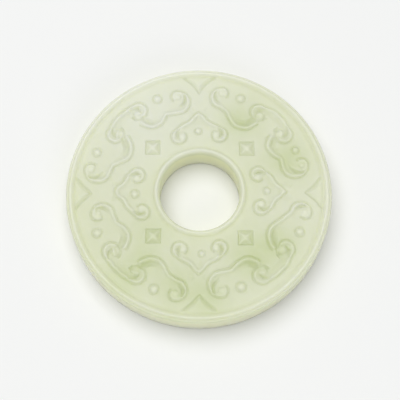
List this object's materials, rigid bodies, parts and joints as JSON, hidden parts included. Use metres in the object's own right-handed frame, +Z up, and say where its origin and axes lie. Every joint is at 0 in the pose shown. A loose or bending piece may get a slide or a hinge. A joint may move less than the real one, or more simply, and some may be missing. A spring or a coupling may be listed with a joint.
{
  "type": "jade bi disc",
  "caption": "Flat round disc of pale green jade with a round central hole, raised bands along both edges and carved cloud scrolls on its upper face.",
  "frame": {"origin": "centre of the disc, on the surface that its underside rests on", "axes": "+Z up along the axis of the hole, out of the carved face; +Y towards the twelve o'clock notch of the pattern; +X to its right"},
  "size_m": [0.056, 0.056, 0.0072],
  "materials": {
    "jade": "pale green nephrite, finely polished with a waxy gloss and slightly translucent"
  },
  "bodies": {
    "root": {"jade_disc": "jade"}
  },
  "joints": []
}
